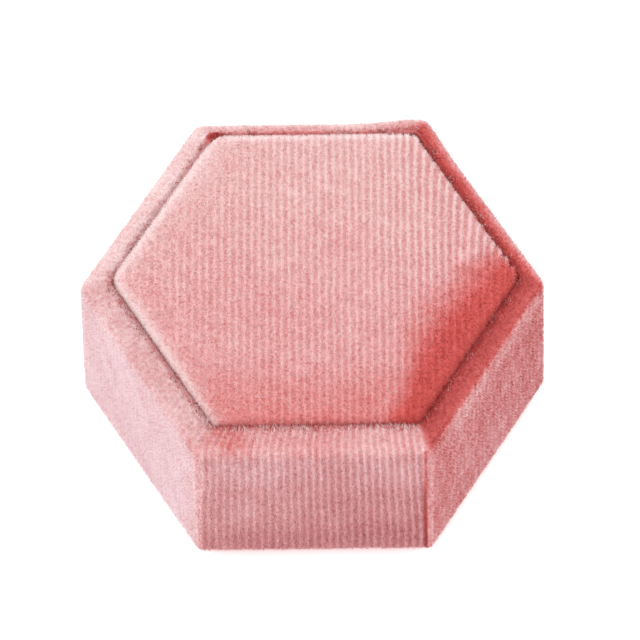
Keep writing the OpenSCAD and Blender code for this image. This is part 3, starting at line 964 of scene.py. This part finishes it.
def buildCollarVelvet():
    low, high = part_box("collar_velvet")
    out, bottom, top = high.y / mm, low.z / mm, high.z / mm
    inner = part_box("tray_card")[1].y / mm + 0.3
    e = collar["edgeRound"]
    path = [(out, z) for z in np.linspace(bottom + 0.05, top - e, 18)[:-1]]
    path += arc(out - e, top - e, e, 0, 90, 7)
    path += arc(inner + e, top - e, e, 90, 180, 7)
    path += [(inner, z) for z in np.linspace(top - e, top - 5, 6)[1:]]
    grid = ringGrid(path, lambda flat, z: collar["cornerRadius"], 1, collar["steps"], 4)[0]
    z = grid[..., 2] / mm
    shares = sideShares(grid)
    # painted light and shade: the left sides paler and the right ones deeper
    nap = 0.52 + bySide(shares, [0.02, -0.08, -0.02, 0.06, 0.12, 0.08])
    nap = nap + 0.1 * drift(grid, 8) + 0.06 * drift(grid, 3)
    # a painted highlight along the top edge
    nap += 0.12 * smoothStep(top - 1.5, top, z)
    cover = smoothStep(bottom + 0.5, bottom + 1.0, z)
    piece = gridObject("collar_velvet_cover", grid, True,
                       {"nap": nap, "pileHeight": 0 * nap + 0.6, "pileCover": cover})
    placePiece(piece, "base", shortVelvet, ["collar_velvet"])
    pile = growPile(piece, "collar_velvet_pile", innerPile, {
        "Seed": 60, "Fibres per square mm": collar["fibres"], "Fibre length": 0.22 * mm,
        "Fibre width": 0.12 * mm, "Cover": "pileCover"}, "base")


def closePoles(piece):
    # draws together the rings of points at the middle of a disc
    shape = bmesh.new()
    shape.from_mesh(piece.data)
    bmesh.ops.remove_doubles(shape, verts=shape.verts, dist=0.02 * mm)
    shape.to_mesh(piece.data)
    shape.free()


def flockedPaperMaterial():
    # paper with a suede-like coat of very short fibres: matt and faintly mottled
    material, shader, tree = newMaterial("flocked paper", {
        "Roughness": 0.95, "Specular IOR Level": 0.2, "Sheen Weight": 0.3, "Sheen Roughness": 0.5})
    maths = partial(addMaths, tree)
    place = objectPlace(tree)
    flock = addNoise(tree, place, 0.2 * mm, 3.0, 0.75)
    slow = addNoise(tree, place, 9 * mm, 3.0)
    tone = maths("ADD", maths("MULTIPLY", flock, 0.6), maths("MULTIPLY", slow, 0.4))
    colour = addRamp(tree, tone, [(0.3, "#a86462"), (0.5, "#c98a87"), (0.72, "#dca9a5")])
    paintSurface(tree, shader, colour, flock, 0.6, 0.06 * mm)
    return material


def feltMaterial():
    # pressed wool felt: matt and fuzzy, grey-brown with paler and darker hairs
    material, shader, tree = newMaterial("pressed wool felt", {
        "Roughness": 1.0, "Specular IOR Level": 0.15, "Sheen Weight": 0.25, "Sheen Roughness": 0.6})
    put, maths = partial(addNode, tree), partial(addMaths, tree)
    place = objectPlace(tree)
    bent = put("ShaderNodeTexNoise", None, {
        "Vector": place, "Scale": 1 / (2 * mm), "Detail": 2.0}).outputs["Color"]
    curled = put("ShaderNodeVectorMath", {"operation": "MULTIPLY_ADD"},
                 {0: bent, 1: (3 * mm, 3 * mm, 3 * mm), 2: place}).outputs[0]
    hairs = put("ShaderNodeTexWave", {"wave_type": "BANDS"}, {
        "Vector": curled, "Scale": 1 / (6 * mm), "Distortion": 9.0, "Detail": 3.0, "Detail Scale": 3.0})
    cloudy = addNoise(tree, place, 0.5 * mm, 4.0)
    tone = maths("ADD", maths("MULTIPLY", hairs.outputs["Fac"], 0.35), maths("MULTIPLY", cloudy, 0.65))
    colour = addRamp(tree, tone, [(0.25, "#6d6560"), (0.5, "#8f8781"), (0.8, "#b3aca5")])
    paintSurface(tree, shader, colour, tone, 0.7, 0.12 * mm)
    return material


underside = {
    "steps": 40,
    "paperCorner": 0.8,      # mm, upright corners of the papered base
    "paperEdge": 0.35,       # mm
    "paperTurnIn": 28.8,     # mm from the middle to the paper's cut edge underneath
    "feltCorner": 0.6,       # mm
    "feltEdge": 0.2,         # mm
    "feltTop": 0.5,          # mm, against the paper's turned-in margin
    "boardBottom": 0.78,     # mm, against the board inside that margin
    "middle": 0.01,          # mm, radius of the ring that closePoles draws together
}


def buildFlockedPaper():
    low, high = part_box("base_wrap")
    out, bottom, top = high.y / mm, low.z / mm, high.z / mm
    e = underside["paperEdge"]
    path = [(f, bottom + 0.05) for f in (underside["paperTurnIn"], 31, 33, 35)]
    path += arc(out - e, bottom + e, e, 270, 360, 5)
    path += [(out, (bottom + top) / 2)]
    path += arc(out - e, top - e, e, 0, 90, 5)
    path += [(f, top) for f in (35, 33, 31, 20, 10, underside["middle"])]
    grid = ringGrid(path, lambda flat, z: underside["paperCorner"], 1, underside["steps"], 4)[0]
    grid[..., 2] += 0.04 * mm * drift(grid, 5) * (grid[..., 2] > bottom * 1.5 * mm)
    paper = gridObject("base_flocked_paper", grid, True)
    closePoles(paper)
    placePiece(paper, "base", flockedPaperMaterial(), ["base_wrap"])


def buildFelt():
    # the felt fills the opening inside the paper's turned-in margin, up to the board
    out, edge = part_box("base_felt")[1].y / mm, underside["feltEdge"]
    top, board, inside = underside["feltTop"], underside["boardBottom"], underside["paperTurnIn"] - 0.2
    path = [(f, 0.0) for f in np.linspace(underside["middle"], out - edge, 36)]
    path += arc(out - edge, edge, edge, 270, 360, 4)
    path += [(out, top - 0.05), (out - 2, top), (inside, top)]
    path += [(inside, board), (14, board), (underside["middle"], board)]
    grid = ringGrid(path, lambda flat, z: underside["feltCorner"], 1, underside["steps"], 3)[0]
    uneven = 0.5 + 0.5 * drift(grid, 1.4)
    grid[..., 2] += 0.06 * mm * uneven * (grid[..., 2] < 0.3 * mm)
    pad = gridObject("base_felt_pad", grid, True)
    closePoles(pad)
    placePiece(pad, "base", feltMaterial(), ["base_felt"])


# Board, foam and wadding inside

def greyboardMaterial():
    # grey recycled board: matt, flecked with darker and paler bits of old paper
    material, shader, tree = newMaterial("grey recycled board", {
        "Roughness": 0.92, "Specular IOR Level": 0.3})
    put, maths = partial(addNode, tree), partial(addMaths, tree)
    place = objectPlace(tree)
    pulp = addNoise(tree, place, 0.6 * mm, 4.0, 0.7)
    flecks = put("ShaderNodeTexVoronoi", None, {"Vector": place, "Scale": 1 / (1.5 * mm)}).outputs["Distance"]
    tone = maths("ADD", pulp, maths("MULTIPLY", maths("LESS_THAN", flecks, 0.16), -0.35))
    colour = addRamp(tree, tone, [(0.2, "#5f5a54"), (0.42, "#8d877e"), (0.6, "#a59f95"), (0.8, "#bdb7ac")])
    paintSurface(tree, shader, colour, pulp, 0.4, 0.05 * mm)
    return material


def foamMaterial():
    # cream polyurethane foam: open cells about 0.6 mm wide, pale struts with painted shade in the pits
    # between them
    material, shader, tree = newMaterial("cream polyurethane foam", {
        "Roughness": 1.0, "Specular IOR Level": 0.2})
    put = partial(addNode, tree)
    cells = put("ShaderNodeTexVoronoi", {"feature": "DISTANCE_TO_EDGE"},
                {"Vector": objectPlace(tree), "Scale": 1 / (0.6 * mm)}).outputs["Distance"]
    # painted shade, deeper towards the middle of each cell
    colour = addRamp(tree, cells, [(0.02, "#fbf7ea"), (0.15, "#efe8d3"), (0.4, "#cbbf9f")])
    tree.links.new(colour, shader.inputs["Base Color"])
    bump = put("ShaderNodeBump", {"invert": True}, {"Height": cells, "Strength": 0.8, "Distance": 0.2 * mm})
    tree.links.new(bump.outputs[0], shader.inputs["Normal"])
    return material


def waddingMaterial():
    # white polyester wadding: a loose felt of crossing hairs
    material, shader, tree = newMaterial("polyester wadding", {"Roughness": 1.0, "Sheen Weight": 0.4})
    hairs = addNoise(tree, objectPlace(tree), 0.8 * mm, 5.0, 0.75, 3.0)
    colour = addRamp(tree, hairs, [(0.25, "#d9d6cf"), (0.5, "#efede8"), (0.7, "#fbfaf8")])
    paintSurface(tree, shader, colour, hairs, 0.7, 0.15 * mm)
    return material


def dress(material, *nodes):
    for node in nodes:
        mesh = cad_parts[node].data
        mesh.materials.clear()
        mesh.materials.append(material)


buildLidVelvet()
buildPanelVelvet()
satin = satinMaterial()
buildCeilingSatin(satin)
dress(satin, "lid_lining_strip")
dress(greyboardMaterial(), "base_board", "collar_board", "tray_card", "lid_wall_board", "lid_top_board",
      "panel_board", "ceiling_card")
dress(foamMaterial(), "panel_foam", "front_roll_foam", "middle_roll_foam", "back_roll_foam")
dress(waddingMaterial(), "ceiling_wadding")
print("lid dressed")
for place in ("front", "middle", "back"):
    buildRoll(place)
buildCollarVelvet()
buildFlockedPaper()
buildFelt()
print("base dressed")
